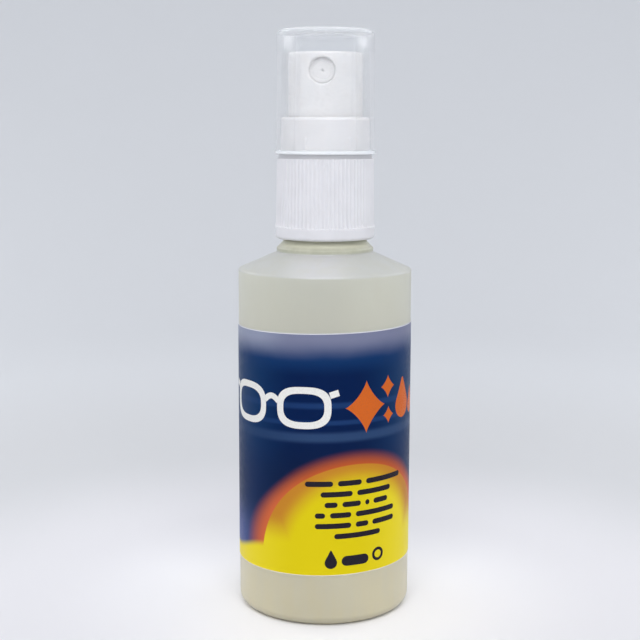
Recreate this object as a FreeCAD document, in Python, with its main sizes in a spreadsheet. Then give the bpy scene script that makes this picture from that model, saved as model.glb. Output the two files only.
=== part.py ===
import FreeCAD, Part
import os

import Sketcher
from FreeCAD import Placement, Rotation, Vector

# A 50 ml lens cleaning spray: a round milky bottle with a wrap-round label, a ribbed screw closure,
# a fine-mist pump with its dip tube, a finger actuator with a nozzle insert, and a clear overcap.
# Millimetres. +Z is up along the bottle's axis, z = 0 is the face the bottle stands on, and the
# nozzle faces -Y.

DRIVING = {
    # bottle
    "body_radius": 16.5,
    "body_wall": 0.9,
    "base_wall": 1.15,
    "base_rounding": 2.0,
    "push_up": 1.2,
    "push_up_radius": 11.5,
    "stand_radius": 13.0,
    "shoulder_foot": 65.4,
    "shoulder_top": 68.6,
    "shoulder_rounding": 0.7,
    "step_radius": 9.22,
    "step_top": 69.4,
    "flare_radius": 8.18,
    "flare_top": 70.4,
    "neck_foot": 72.0,
    "neck_radius": 7.05,
    "neck_bore": 5.8,
    "lip_height": 83.4,
    # screw thread, single start, right-hand
    "thread_pitch": 3.175,
    "thread_foot": 76.6,
    "thread_crest": 7.95,
    "bottle_ridge": 1.6,
    "bottle_ridge_crest": 0.7,
    "bottle_turns": 1.6,
    "closure_ridge": 1.3,
    "closure_ridge_crest": 0.6,
    "closure_ridge_radius": 7.35,
    "closure_turns": 1.4,
    "thread_take_up": 0.3,
    "ridge_root": 0.15,
    # label
    "label_foot": 9.9,
    "label_head": 55.3,
    "label_film": 0.08,
    "label_glue": 0.02,
    "label_sweep": 347.0,
    "label_rise": 0.33,
    "label_spare": 1.0,
    # contents
    "fill_height": 64.7,
    "fluid_gap": 0.05,
    "fluid_bore": 2.8,
    # closure
    "collar_foot": 71.2,
    "collar_radius": 9.45,
    "collar_rounding": 0.6,
    "collar_bore": 8.25,
    "band_top": 73.4,
    "rib_root_low": 9.17,
    "rib_root_high": 9.0,
    "rib_depth": 0.25,
    "rib_bead": 0.35,
    "rib_top": 86.25,
    "rib_angle": 2.5,
    "rib_count": 72.0,
    "deck_radius": 8.85,
    "deck_rounding": 0.1,
    "deck_wall": 0.98,
    "deck_hole": 5.6,
    "boss_radius": 8.31,
    "boss_bore": 7.4,
    "boss_top": 93.9,
    "boss_rounding": 0.6,
    "snap_count": 6.0,
    "snap_foot": 87.7,
    "snap_top": 90.2,
    "snap_radius": 8.38,
    "snap_angle": 4.4,
    "snap_phase": 9.0,
    # pump stack on the bottle's lip
    "play": 0.06,
    "gasket_thick": 0.9,
    "gasket_bore": 5.4,
    "flange_thick": 0.8,
    "flange_radius": 7.0,
    # pump housing
    "mouth_bore": 4.4,
    "mouth_radius": 5.15,
    "mouth_foot": 81.0,
    "barrel_top": 82.0,
    "barrel_bore": 3.6,
    "barrel_radius": 4.4,
    "barrel_floor": 68.5,
    "cage_bore": 1.6,
    "cage_radius": 2.5,
    "cage_foot": 63.0,
    "cage_top": 66.5,
    "seat_bore": 0.8,
    "seat_height": 63.5,
    "socket_top": 62.4,
    "socket_foot": 57.0,
    "socket_radius": 2.2,
    "vent_radius": 0.35,
    "vent_height": 80.3,
    "nib_count": 3.0,
    "nib_reach": 0.9,
    "nib_foot": 66.9,
    "nib_top": 67.4,
    "nib_angle": 32.0,
    # pump retainer
    "turret_radius": 5.3,
    "turret_top": 90.5,
    "turret_ceiling": 89.5,
    "stem_hole": 1.98,
    "guide_bore": 3.4,
    "skirt_radius": 4.36,
    "skirt_foot": 82.1,
    # dip tube
    "tube_radius": 1.48,
    "tube_bore": 0.7,
    "tube_foot": 3.0,
    "tube_slant": 2.2,
    # inlet ball
    "ball_radius": 1.2,
    # return spring
    "wire_radius": 0.25,
    "coil_radius": 2.4,
    "coil_turns": 7.0,
    # poppet
    "poppet_foot": 74.5,
    "poppet_tail": 1.5,
    "poppet_radius": 2.7,
    "spring_top": 77.6,
    "poppet_flange_top": 78.3,
    "cone_radius": 1.9,
    "pin_radius": 1.15,
    "pin_top": 87.5,
    "flute_count": 3.0,
    "flute_depth": 0.4,
    "flute_width": 0.7,
    # piston
    "lip_radius": 3.54,
    "waist_radius": 3.3,
    "piston_foot": 77.4,
    "piston_lip_top": 81.3,
    "web_top": 80.2,
    "sleeve_radius": 2.15,
    "sleeve_bore": 1.3,
    "sleeve_top": 84.2,
    "seat_gap": 0.08,
    # stem
    "stem_radius": 1.9,
    "stem_bore": 0.9,
    "stem_top": 99.5,
    "stem_shoulder": 89.42,
    "stem_foot": 82.0,
    "stem_foot_radius": 3.1,
    "stem_pocket": 2.3,
    "stem_pocket_top": 84.9,
    "pin_bore": 1.18,
    # actuator
    "button_radius": 7.0,
    "button_foot": 92.8,
    "button_top": 105.7,
    "button_wall": 0.9,
    "button_rounding": 0.4,
    "button_ceiling": 104.2,
    "dish_rim": 6.1,
    "dish_radius": 5.2,
    "dish_depth": 0.45,
    "hub_radius": 3.2,
    "hub_foot": 96.0,
    "hub_bore": 1.96,
    "web_count": 4.0,
    "web_wall": 0.8,
    "web_foot": 99.0,
    "nozzle_height": 102.3,
    "nozzle_boss": 2.9,
    "nozzle_boss_length": 6.0,
    "nozzle_mouth": 2.4,
    "nozzle_seat": 2.3,
    "nozzle_depth": 3.4,
    "nozzle_post": 1.5,
    "nozzle_post_length": 1.5,
    "channel_radius": 0.45,
    "channel_drop": 1.93,
    # nozzle insert
    "insert_face": 6.0,
    "insert_length": 2.5,
    "insert_radius": 2.28,
    "insert_bore": 1.62,
    "insert_front": 0.9,
    "swirl_radius": 0.6,
    "swirl_depth": 0.25,
    "orifice_radius": 0.15,
    "dimple_radius": 0.6,
    "dimple_depth": 0.3,
    "ring_radius": 1.65,
    "ring_width": 0.12,
    "ring_depth": 0.06,
    # overcap
    "overcap_radius": 9.52,
    "overcap_top_radius": 9.17,
    "overcap_bead": 0.17,
    "overcap_bead_height": 0.6,
    "overcap_wall": 1.0,
    "overcap_top": 110.0,
    "overcap_top_wall": 1.1,
    "overcap_rounding": 1.2,
    "overcap_inner_rounding": 0.6,
    "nub_radius": 0.6,
    "nub_height": 0.3,
}

doc = FreeCAD.newDocument("lens_cleaning_spray")
sheet = doc.addObject("Spreadsheet::Sheet", "Sizes")
for row, (alias, number) in enumerate(DRIVING.items(), start=1):
    sheet.set(f"A{row}", alias)
    sheet.set(f"B{row}", str(number))
    sheet.setAlias(f"B{row}", alias)
doc.recompute()


class Length:
    """A length as a number, with the cell expression that gives it."""

    def __init__(self, value, text):
        self.value = value
        self.text = text

    def __add__(self, other):
        other = length(other)
        return Length(self.value + other.value, f"{self.text} + {other.text}")

    def __sub__(self, other):
        other = length(other)
        return Length(self.value - other.value, f"{self.text} - ({other.text})")

    def __mul__(self, factor):
        factor = length(factor)
        return Length(self.value * factor.value, f"({self.text}) * ({factor.text})")

    def __neg__(self):
        return Length(-self.value, f"-({self.text})")


def length(thing):
    """A Length as it is; a plain number as a Length that no cell drives."""
    return thing if isinstance(thing, Length) else Length(float(thing), repr(thing))


def size(alias):
    """The driving dimension of that name."""
    return Length(DRIVING[alias], f"Sizes.{alias}")


def new_body(label):
    body = doc.addObject("PartDesign::Body", label)
    body.Label = label
    return body


def origin_feature(body, role):
    return next(part for part in body.Origin.OriginFeatures if part.Role == role)


def new_sketch(body, name, role, offset=None):
    """A sketch on one of the body's origin planes, moved along the plane's normal by offset."""
    sketch = body.newObject("Sketcher::SketchObject", name)
    sketch.AttachmentSupport = [(origin_feature(body, role), "")]
    sketch.MapMode = "FlatFace"
    if offset is not None:
        sketch.AttachmentOffset = Placement(Vector(0, 0, offset.value), Rotation())
        sketch.setExpression("AttachmentOffset.Base.z", offset.text)
    return sketch


def pin_down(sketch, edge, end, across, up):
    """Hold one end of a sketch edge at its two distances from the sketch's origin."""
    for kind, axis, distance in (("DistanceX", -2, across), ("DistanceY", -1, up)):
        if distance.value == 0:
            sketch.addConstraint(Sketcher.Constraint("PointOnObject", edge, end, axis))
            continue
        rule = Sketcher.Constraint(kind, -1, 1, edge, end, distance.value)
        index = sketch.addConstraint(rule)
        sketch.setExpression(f"Constraints[{index}]", distance.text)


def outline(body, name, corners, role="XZ_Plane", offset=None):
    """A sketch of straight edges through the corners, back to the first."""
    sketch = new_sketch(body, name, role, offset)
    corners = [(length(across), length(up)) for across, up in corners]
    spots = [Vector(across.value, up.value, 0) for across, up in corners]
    for here, there in zip(spots, spots[1:] + spots[:1]):
        sketch.addGeometry(Part.LineSegment(here, there), False)
    for edge in range(len(spots)):
        rule = Sketcher.Constraint("Coincident", edge, 2, (edge + 1) % len(spots), 1)
        sketch.addConstraint(rule)
    for edge, (across, up) in enumerate(corners):
        pin_down(sketch, edge, 1, across, up)
    return sketch


def disc(body, name, radius, across=0, up=0, role="XZ_Plane", offset=None):
    """A sketch of one circle."""
    sketch = new_sketch(body, name, role, offset)
    across, up = length(across), length(up)
    circle = Part.Circle(Vector(across.value, up.value, 0), Vector(0, 0, 1), radius.value)
    sketch.addGeometry(circle, False)
    pin_down(sketch, 0, 3, across, up)
    index = sketch.addConstraint(Sketcher.Constraint("Radius", 0, radius.value))
    sketch.setExpression(f"Constraints[{index}]", radius.text)
    return sketch


def turn(body, name, sketch, angle=None):
    """Turn a profile about Z, all the way or by an angle that straddles the profile."""
    feature = body.newObject("PartDesign::Revolution", name)
    feature.Profile = sketch
    feature.ReferenceAxis = (origin_feature(body, "Z_Axis"), [""])
    feature.Angle = 360
    if angle is not None:
        feature.Midplane = True
        feature.setExpression("Angle", angle.text)
    return feature


def turned_body(label, corners):
    """A body turned from one closed profile of (radius, height) corners."""
    body = new_body(label)
    turn(body, f"{label}_turned", outline(body, f"{label}_profile", corners))
    return body


def pad(body, name, sketch, run):
    feature = body.newObject("PartDesign::Pad", name)
    feature.Profile = sketch
    feature.Length = run.value
    feature.setExpression("Length", run.text)
    return feature


def cut(body, name, sketch, run=None, reverse=False, both_ways=False):
    """Cut a profile away, to a depth or right through, and check that it removes something."""
    doc.recompute()
    before = body.Shape.Volume
    feature = body.newObject("PartDesign::Pocket", name)
    feature.Profile = sketch
    feature.Reversed = reverse
    feature.Midplane = both_ways
    if run is None:
        feature.Type = "ThroughAll"
    else:
        feature.Length = run.value
        feature.setExpression("Length", run.text)
    doc.recompute()
    if body.Shape.Volume > before - 1e-6:
        raise RuntimeError(f"{name} cuts nothing away")
    return feature


def ring_of(body, name, feature, count):
    """Repeat one feature evenly about Z."""
    pattern = body.newObject("PartDesign::PolarPattern", name)
    pattern.Originals = [feature]
    pattern.Axis = (origin_feature(body, "Z_Axis"), [""])
    pattern.Angle = 360
    pattern.setExpression("Occurrences", count.text)
    body.Tip = pattern
    return pattern


def helix(body, name, sketch, pitch, turns):
    feature = body.newObject("PartDesign::AdditiveHelix", name)
    feature.Profile = sketch
    feature.ReferenceAxis = (origin_feature(body, "Z_Axis"), [""])
    feature.Mode = "pitch-turns-angle"
    feature.setExpression("Pitch", pitch.text)
    feature.setExpression("Turns", turns.text)
    body.Tip = feature
    return feature


def round_rims(body, name, rounding, rims):
    """Round the circular edges that have these (radius, height) pairs."""
    doc.recompute()
    base = body.Tip
    wanted = [(length(radius).value, length(height).value) for radius, height in rims]
    found = []
    for number, edge in enumerate(base.Shape.Edges, start=1):
        curve = edge.Curve
        if not isinstance(curve, Part.Circle):
            continue
        rim = (curve.Radius, curve.Center.z)
        if any(abs(rim[0] - r) < 1e-4 and abs(rim[1] - z) < 1e-4 for r, z in wanted):
            found.append(f"Edge{number}")
    if len(found) < len(wanted):
        raise RuntimeError(f"{name} finds {len(found)} edges for {len(wanted)} rims")
    feature = body.newObject("PartDesign::Fillet", name)
    feature.Base = (base, found)
    feature.setExpression("Radius", rounding.text)
    return feature


def ridge_section(root, crest, height, root_width, crest_width):
    """The corners of a thread ridge's section, from its root radius to its crest radius."""
    half_root = root_width * 0.5
    half_crest = crest_width * 0.5
    return [
        (root, height - half_root),
        (crest, height - half_crest),
        (crest, height + half_crest),
        (root, height + half_root),
    ]


# Heights that follow from the stack on the bottle's lip
gasket_foot = size("lip_height") + size("play")
flange_foot = gasket_foot + size("gasket_thick")
retainer_foot = flange_foot + size("flange_thick")
retainer_flange_top = retainer_foot + size("flange_thick")
deck_under = retainer_flange_top + size("play")
deck_top = deck_under + size("deck_wall")

# The inside of the bottle
inner_radius = size("body_radius") - size("body_wall")
inner_floor = size("push_up") + size("base_wall")
inner_push_up = size("push_up_radius") + 0.2
inner_stand = size("stand_radius") + 0.1
inner_shoulder_foot = size("shoulder_foot") - 0.6
throat_foot = size("shoulder_top") - 0.17
throat_radius = size("neck_bore") + 1.6
throat_top = size("flare_top") - 0.2
inner_base_rounding = size("base_rounding") - size("body_wall")


def make_bottle():
    bottle = turned_body("bottle", [
        (0, size("push_up")),
        (size("push_up_radius"), size("push_up")),
        (size("stand_radius"), 0),
        (size("body_radius"), 0),
        (size("body_radius"), size("shoulder_foot")),
        (size("step_radius"), size("shoulder_top")),
        (size("step_radius"), size("step_top")),
        (size("flare_radius"), size("flare_top")),
        (size("neck_radius"), size("neck_foot")),
        (size("neck_radius"), size("lip_height")),
        (size("neck_bore"), size("lip_height")),
        (size("neck_bore"), throat_top),
        (throat_radius, throat_foot),
        (inner_radius, inner_shoulder_foot),
        (inner_radius, size("base_wall")),
        (inner_stand, size("base_wall")),
        (inner_push_up, inner_floor),
        (0, inner_floor),
    ])
    round_rims(bottle, "bottle_base", size("base_rounding"), [(size("body_radius"), 0)])
    round_rims(bottle, "bottle_inner_base", inner_base_rounding, [(inner_radius, size("base_wall"))])
    round_rims(bottle, "bottle_shoulder", size("shoulder_rounding"),
               [(size("body_radius"), size("shoulder_foot"))])
    section = outline(bottle, "bottle_thread_profile", ridge_section(
        size("neck_radius") - size("ridge_root"), size("thread_crest"), size("thread_foot"),
        size("bottle_ridge"), size("bottle_ridge_crest")))
    helix(bottle, "bottle_thread", section, size("thread_pitch"), size("bottle_turns"))
    return bottle


def make_label():
    """A film wrapped round the body, open at the back, its two edges a little out of level."""
    inner = size("body_radius") + size("label_glue")
    outer = inner + size("label_film")
    spare = size("label_spare")
    low = size("label_foot") - spare
    high = size("label_head") + spare
    label = new_body("label")
    strip = outline(label, "label_profile", [(inner, low), (outer, low), (outer, high), (inner, high)])
    turn(label, "label_wrap", strip, size("label_sweep"))
    reach = size("body_radius") + spare
    rise = size("label_rise")
    for name, level, away in (("label_foot_trim", size("label_foot"), low - spare),
                              ("label_head_trim", size("label_head"), high + spare)):
        wedge = outline(label, f"{name}_profile",
                        [(-reach, level - rise), (reach, level + rise), (reach, away), (-reach, away)],
                        role="YZ_Plane")
        cut(label, name, wedge, both_ways=True)
    label.Placement = Placement(Vector(0, 0, 0), Rotation(Vector(0, 0, 1), -90))
    return label


def make_cleaning_fluid():
    gap = size("fluid_gap")
    floor = size("base_wall") + gap
    fluid = turned_body("cleaning_fluid", [
        (size("fluid_bore"), inner_floor + gap),
        (inner_push_up, inner_floor + gap),
        (inner_stand, floor),
        (inner_radius - gap, floor),
        (inner_radius - gap, size("fill_height")),
        (size("fluid_bore"), size("fill_height")),
    ])
    round_rims(fluid, "cleaning_fluid_base", inner_base_rounding, [(inner_radius - gap, floor)])
    return fluid


def make_closure():
    closure = turned_body("closure", [
        (size("collar_bore"), size("collar_foot")),
        (size("collar_radius"), size("collar_foot")),
        (size("collar_radius"), size("band_top")),
        (size("rib_root_low"), size("band_top") + size("rib_depth")),
        (size("rib_root_high"), size("rib_top")),
        (size("deck_radius"), size("rib_top")),
        (size("deck_radius"), deck_top),
        (size("boss_radius"), deck_top),
        (size("boss_radius"), size("boss_top")),
        (size("boss_bore"), size("boss_top")),
        (size("boss_bore"), deck_top),
        (size("deck_hole"), deck_top),
        (size("deck_hole"), deck_under),
        (size("collar_bore"), deck_under),
    ])
    round_rims(closure, "closure_foot", size("collar_rounding"),
               [(size("collar_radius"), size("collar_foot"))])
    round_rims(closure, "closure_deck", size("deck_rounding"), [(size("deck_radius"), deck_top)])
    round_rims(closure, "closure_boss", size("boss_rounding"),
               [(size("boss_radius"), size("boss_top"))])
    root = size("rib_root_high") - size("rib_depth")
    bead = size("rib_bead")
    rib = outline(closure, "closure_rib_profile", [
        (root, size("band_top")),
        (size("rib_root_low") + size("rib_depth"), size("band_top")),
        (size("rib_root_low") + size("rib_depth"), size("band_top") + bead),
        (size("rib_root_high") + size("rib_depth"), size("rib_top")),
        (root, size("rib_top")),
    ])
    ribs = turn(closure, "closure_rib", rib, size("rib_angle"))
    ring_of(closure, "closure_ribs", ribs, size("rib_count"))
    snap = outline(closure, "closure_snap_profile", [
        (size("boss_bore") + 0.2, size("snap_foot")),
        (size("snap_radius"), size("snap_foot")),
        (size("snap_radius"), size("snap_top")),
        (size("boss_bore") + 0.2, size("snap_top")),
    ])
    snap.AttachmentOffset = Placement(Vector(), Rotation(Vector(0, 1, 0), size("snap_phase").value))
    snaps = turn(closure, "closure_snap", snap, size("snap_angle"))
    ring_of(closure, "closure_snaps", snaps, size("snap_count"))
    height = size("thread_foot") - size("thread_pitch") * 0.5 + size("thread_take_up")
    section = outline(closure, "closure_thread_profile", ridge_section(
        size("collar_bore") + size("ridge_root"), size("closure_ridge_radius"), height,
        size("closure_ridge"), size("closure_ridge_crest")))
    helix(closure, "closure_thread", section, size("thread_pitch"), size("closure_turns"))
    return closure


def make_neck_gasket():
    outer = size("flange_radius") - 0.05
    return turned_body("neck_gasket", [
        (size("gasket_bore"), gasket_foot),
        (outer, gasket_foot),
        (outer, flange_foot),
        (size("gasket_bore"), flange_foot),
    ])


def make_pump_housing():
    cone_rise = size("cage_bore") - size("seat_bore")
    housing = turned_body("pump_housing", [
        (size("flange_radius"), flange_foot),
        (size("flange_radius"), retainer_foot),
        (size("mouth_bore"), retainer_foot),
        (size("mouth_bore"), size("barrel_top")),
        (size("barrel_bore"), size("barrel_top")),
        (size("barrel_bore"), size("barrel_floor")),
        (size("cage_bore"), size("barrel_floor")),
        (size("cage_bore"), size("seat_height") + cone_rise),
        (size("seat_bore"), size("seat_height")),
        (size("seat_bore"), size("socket_top")),
        (size("tube_radius") + 0.02, size("socket_top")),
        (size("tube_radius") + 0.02, size("socket_foot")),
        (size("socket_radius"), size("socket_foot")),
        (size("socket_radius"), size("cage_foot") - 0.4),
        (size("cage_radius"), size("cage_foot")),
        (size("cage_radius"), size("cage_top")),
        (size("barrel_radius"), size("barrel_floor") - 0.9),
        (size("barrel_radius"), size("mouth_foot")),
        (size("mouth_radius"), size("mouth_foot") + 0.6),
        (size("mouth_radius"), flange_foot),
    ])
    nib_root = size("cage_bore") + 0.2
    nib = outline(housing, "pump_housing_nib_profile", [
        (size("nib_reach"), size("nib_foot")),
        (nib_root, size("nib_foot")),
        (nib_root, size("nib_top")),
        (size("nib_reach"), size("nib_top")),
    ])
    nibs = turn(housing, "pump_housing_nib", nib, size("nib_angle"))
    ring_of(housing, "pump_housing_nibs", nibs, size("nib_count"))
    vent = disc(housing, "pump_housing_vent_profile", size("vent_radius"), up=size("vent_height"))
    cut(housing, "pump_housing_vent", vent)
    return housing


def make_pump_retainer():
    return turned_body("pump_retainer", [
        (size("flange_radius"), retainer_foot),
        (size("flange_radius"), retainer_flange_top),
        (size("turret_radius"), retainer_flange_top),
        (size("turret_radius"), size("turret_top")),
        (size("stem_hole"), size("turret_top")),
        (size("stem_hole"), size("turret_ceiling")),
        (size("guide_bore"), size("turret_ceiling")),
        (size("guide_bore"), size("skirt_foot")),
        (size("skirt_radius"), size("skirt_foot")),
        (size("skirt_radius"), retainer_foot),
    ])


def make_dip_tube():
    tube = turned_body("dip_tube", [
        (size("tube_bore"), size("tube_foot")),
        (size("tube_radius"), size("tube_foot")),
        (size("tube_radius"), size("socket_top")),
        (size("tube_bore"), size("socket_top")),
    ])
    reach = size("tube_radius") + 0.5
    slant = outline(tube, "dip_tube_slant_profile", [
        (-reach, size("tube_foot") - 0.5),
        (reach, size("tube_foot") - 0.5),
        (reach, size("tube_foot") + size("tube_slant")),
    ])
    cut(tube, "dip_tube_slant", slant, both_ways=True)
    return tube


def make_inlet_ball():
    """The ball rests just clear of the seat's 45 degree cone."""
    ball = doc.addObject("Part::Sphere", "inlet_ball")
    ball.Label = "inlet_ball"
    ball.setExpression("Radius", size("ball_radius").text)
    root_two = 2 ** 0.5
    centre = size("seat_height") - size("seat_bore") + (size("ball_radius") + size("play")) * root_two
    ball.setExpression("Placement.Base.z", centre.text)
    return ball


def make_return_spring():
    gap = size("play") + size("wire_radius")
    low = size("barrel_floor") + gap
    rise = size("spring_top") - size("barrel_floor") - gap * 2
    spring = new_body("return_spring")
    wire = disc(spring, "return_spring_wire", size("wire_radius"), size("coil_radius"), low)
    pitch = Length(rise.value / DRIVING["coil_turns"], f"({rise.text}) / ({size('coil_turns').text})")
    helix(spring, "return_spring_coil", wire, pitch, size("coil_turns"))
    return spring


def make_poppet():
    cone_rise = size("cone_radius") - size("pin_radius")
    poppet = turned_body("poppet", [
        (0, size("poppet_foot")),
        (size("poppet_tail"), size("poppet_foot")),
        (size("poppet_tail"), size("spring_top")),
        (size("poppet_radius"), size("spring_top")),
        (size("poppet_radius"), size("poppet_flange_top")),
        (size("cone_radius"), size("poppet_flange_top")),
        (size("pin_radius"), size("poppet_flange_top") + cone_rise),
        (size("pin_radius"), size("pin_top")),
        (0, size("pin_top")),
    ])
    near = size("pin_radius") - size("flute_depth")
    far = size("pin_radius") + 0.2
    half = size("flute_width") * 0.5
    flute_foot = size("poppet_flange_top") + cone_rise
    profile = outline(poppet, "poppet_flute_profile",
                      [(near, -half), (far, -half), (far, half), (near, half)],
                      role="XY_Plane", offset=flute_foot)
    flute = cut(poppet, "poppet_flute", profile, size("pin_top") - flute_foot, reverse=True)
    ring_of(poppet, "poppet_flutes", flute, size("flute_count"))
    return poppet


def make_piston():
    """Two sealing lips outside, and a sleeve whose foot seats on the poppet's 45 degree cone."""
    seat_lift = size("seat_gap") * 2 ** 0.5
    cone_sum = size("poppet_flange_top") + size("cone_radius") + seat_lift
    seat_foot = size("poppet_flange_top") + seat_lift
    inner_lip = size("poppet_radius") + 0.35
    return turned_body("piston", [
        (size("lip_radius"), size("piston_foot")),
        (size("waist_radius"), size("piston_foot") + 1.0),
        (size("waist_radius"), size("web_top")),
        (size("lip_radius"), size("piston_lip_top")),
        (size("lip_radius") - 0.34, size("piston_lip_top")),
        (size("waist_radius") - 0.4, size("web_top")),
        (size("sleeve_radius"), size("web_top")),
        (size("sleeve_radius"), size("sleeve_top")),
        (size("sleeve_bore"), size("sleeve_top")),
        (size("sleeve_bore"), cone_sum - size("sleeve_bore")),
        (size("cone_radius"), seat_foot),
        (size("poppet_radius") + 0.12, seat_foot),
        (inner_lip, size("piston_foot")),
    ])


def make_stem():
    return turned_body("stem", [
        (size("stem_bore"), size("stem_top")),
        (size("stem_radius"), size("stem_top")),
        (size("stem_radius"), size("stem_shoulder")),
        (size("stem_foot_radius"), size("stem_shoulder")),
        (size("stem_foot_radius"), size("stem_foot")),
        (size("stem_pocket"), size("stem_foot")),
        (size("stem_pocket"), size("stem_pocket_top")),
        (size("pin_bore"), size("stem_pocket_top")),
        (size("pin_bore"), size("pin_top") + 0.1),
        (size("stem_bore"), size("pin_top") + 0.1),
    ])


def make_actuator():
    dish_floor = size("button_top") - size("dish_depth")
    inner = size("button_radius") - size("button_wall")
    hub_ceiling = size("stem_top") + size("play")
    actuator = turned_body("actuator", [
        (inner, size("button_foot")),
        (inner, size("button_ceiling")),
        (size("hub_radius"), size("button_ceiling")),
        (size("hub_radius"), size("hub_foot")),
        (size("hub_bore"), size("hub_foot")),
        (size("hub_bore"), hub_ceiling),
        (size("stem_bore"), hub_ceiling),
        (size("stem_bore"), size("nozzle_height")),
        (0, size("nozzle_height")),
        (0, dish_floor),
        (size("dish_radius"), dish_floor),
        (size("dish_rim"), size("button_top")),
        (size("button_radius"), size("button_top")),
        (size("button_radius"), size("button_foot")),
    ])
    round_rims(actuator, "actuator_rim", size("button_rounding"),
               [(size("button_radius"), size("button_top"))])
    half_web = size("web_wall") * 0.5
    web_near = size("hub_radius") - 0.3
    web_far = inner + 0.3
    web_profile = outline(actuator, "actuator_web_profile",
                          [(web_near, -half_web), (web_far, -half_web),
                           (web_far, half_web), (web_near, half_web)],
                          role="XY_Plane", offset=size("web_foot"))
    web = pad(actuator, "actuator_web", web_profile, size("button_ceiling") + 0.3 - size("web_foot"))
    ring_of(actuator, "actuator_webs", web, size("web_count"))

    height = size("nozzle_height")
    boss_root = size("hub_radius") - 0.6
    boss = disc(actuator, "actuator_nozzle_boss_profile", size("nozzle_boss"), up=height,
                offset=boss_root)
    pad(actuator, "actuator_nozzle_boss", boss, size("nozzle_boss_length") - boss_root)
    mouth = disc(actuator, "actuator_mouth_profile", size("nozzle_mouth"), up=height,
                 offset=size("insert_face"))
    cut(actuator, "actuator_mouth", mouth, reverse=True)
    seat = disc(actuator, "actuator_seat_profile", size("nozzle_seat"), up=height,
                offset=size("nozzle_depth"))
    cut(actuator, "actuator_seat", seat, reverse=True)
    post = disc(actuator, "actuator_post_profile", size("nozzle_post"), up=height,
                offset=size("nozzle_depth") - 0.1)
    pad(actuator, "actuator_post", post, size("nozzle_post_length") + 0.1)
    channel = disc(actuator, "actuator_channel_profile", size("channel_radius"),
                   up=height - size("channel_drop"))
    cut(actuator, "actuator_channel", channel, size("nozzle_depth") + 0.1, reverse=True)
    return actuator


def make_nozzle_insert():
    """Turned about its own axis, then laid along -Y in the actuator's nozzle seat."""
    run = size("insert_length")
    hollow = run - size("insert_front")
    swirl = hollow + size("swirl_depth")
    ring_in = size("ring_radius") - size("ring_width")
    ring_out = size("ring_radius") + size("ring_width")
    insert = turned_body("nozzle_insert", [
        (size("insert_bore"), 0),
        (size("insert_radius"), 0),
        (size("insert_radius"), run),
        (ring_out, run),
        (size("ring_radius"), run - size("ring_depth")),
        (ring_in, run),
        (size("dimple_radius"), run),
        (size("orifice_radius"), run - size("dimple_depth")),
        (size("orifice_radius"), swirl),
        (size("swirl_radius"), swirl),
        (size("swirl_radius"), hollow),
        (size("insert_bore"), hollow),
    ])
    back = size("insert_face") - run
    insert.Placement = Placement(Vector(0, -back.value, size("nozzle_height").value),
                                 Rotation(Vector(1, 0, 0), 90))
    insert.setExpression("Placement.Base.y", (-back).text)
    insert.setExpression("Placement.Base.z", size("nozzle_height").text)
    return insert


def make_overcap():
    foot = deck_top + size("play")
    ceiling = size("overcap_top") - size("overcap_top_wall")
    inner_foot = size("overcap_radius") - size("overcap_wall")
    inner_top = size("overcap_top_radius") - size("overcap_wall")
    nub_top = size("overcap_top") + size("nub_height")
    overcap = turned_body("overcap", [
        (inner_foot, foot),
        (size("overcap_radius"), foot),
        (size("overcap_radius"), foot + size("overcap_bead_height")),
        (size("overcap_radius") - size("overcap_bead"), foot + size("overcap_bead_height") + 0.3),
        (size("overcap_top_radius"), size("overcap_top")),
        (size("nub_radius"), size("overcap_top")),
        (size("nub_radius"), nub_top),
        (0, nub_top),
        (0, ceiling),
        (inner_top, ceiling),
    ])
    round_rims(overcap, "overcap_crown", size("overcap_rounding"),
               [(size("overcap_top_radius"), size("overcap_top"))])
    round_rims(overcap, "overcap_inner_crown", size("overcap_inner_rounding"), [(inner_top, ceiling)])
    return overcap


def check_and_write(pieces):
    doc.recompute()
    for item in doc.Objects:
        if "Invalid" in item.State or "Error" in item.State:
            raise RuntimeError(f"{item.Label} is {item.State}")
    for piece in pieces:
        if piece.Shape.isNull() or not piece.Shape.isValid():
            raise RuntimeError(f"{piece.Label} has no valid shape")
        if len(piece.Shape.Solids) != 1:
            raise RuntimeError(f"{piece.Label} has {len(piece.Shape.Solids)} solids")
    os.makedirs("parts", exist_ok=True)
    for piece in pieces:
        piece.Shape.exportStep(f"parts/{piece.Label}.step")
        print(f"{piece.Label:16s} {piece.Shape.Volume:10.2f} mm3")


check_and_write([
    make_bottle(),
    make_label(),
    make_cleaning_fluid(),
    make_closure(),
    make_neck_gasket(),
    make_pump_housing(),
    make_pump_retainer(),
    make_dip_tube(),
    make_inlet_ball(),
    make_return_spring(),
    make_poppet(),
    make_piston(),
    make_stem(),
    make_actuator(),
    make_nozzle_insert(),
    make_overcap(),
])
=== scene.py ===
import math

import bmesh
import bpy
from mathutils import Matrix, Vector


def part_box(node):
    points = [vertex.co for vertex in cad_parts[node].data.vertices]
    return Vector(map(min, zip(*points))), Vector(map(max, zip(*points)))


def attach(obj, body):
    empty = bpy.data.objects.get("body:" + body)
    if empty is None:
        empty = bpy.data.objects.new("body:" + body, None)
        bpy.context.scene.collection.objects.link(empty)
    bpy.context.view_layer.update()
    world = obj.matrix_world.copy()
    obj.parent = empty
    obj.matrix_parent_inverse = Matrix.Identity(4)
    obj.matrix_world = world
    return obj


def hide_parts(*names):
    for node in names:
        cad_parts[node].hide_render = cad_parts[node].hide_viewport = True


# Looks for the lens cleaning spray. Lengths are in millimetres until a mesh is built, which is in metres.
# The nozzle faces -Y. Angles round the axis start at -Y, the front, and grow towards +X.

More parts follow.
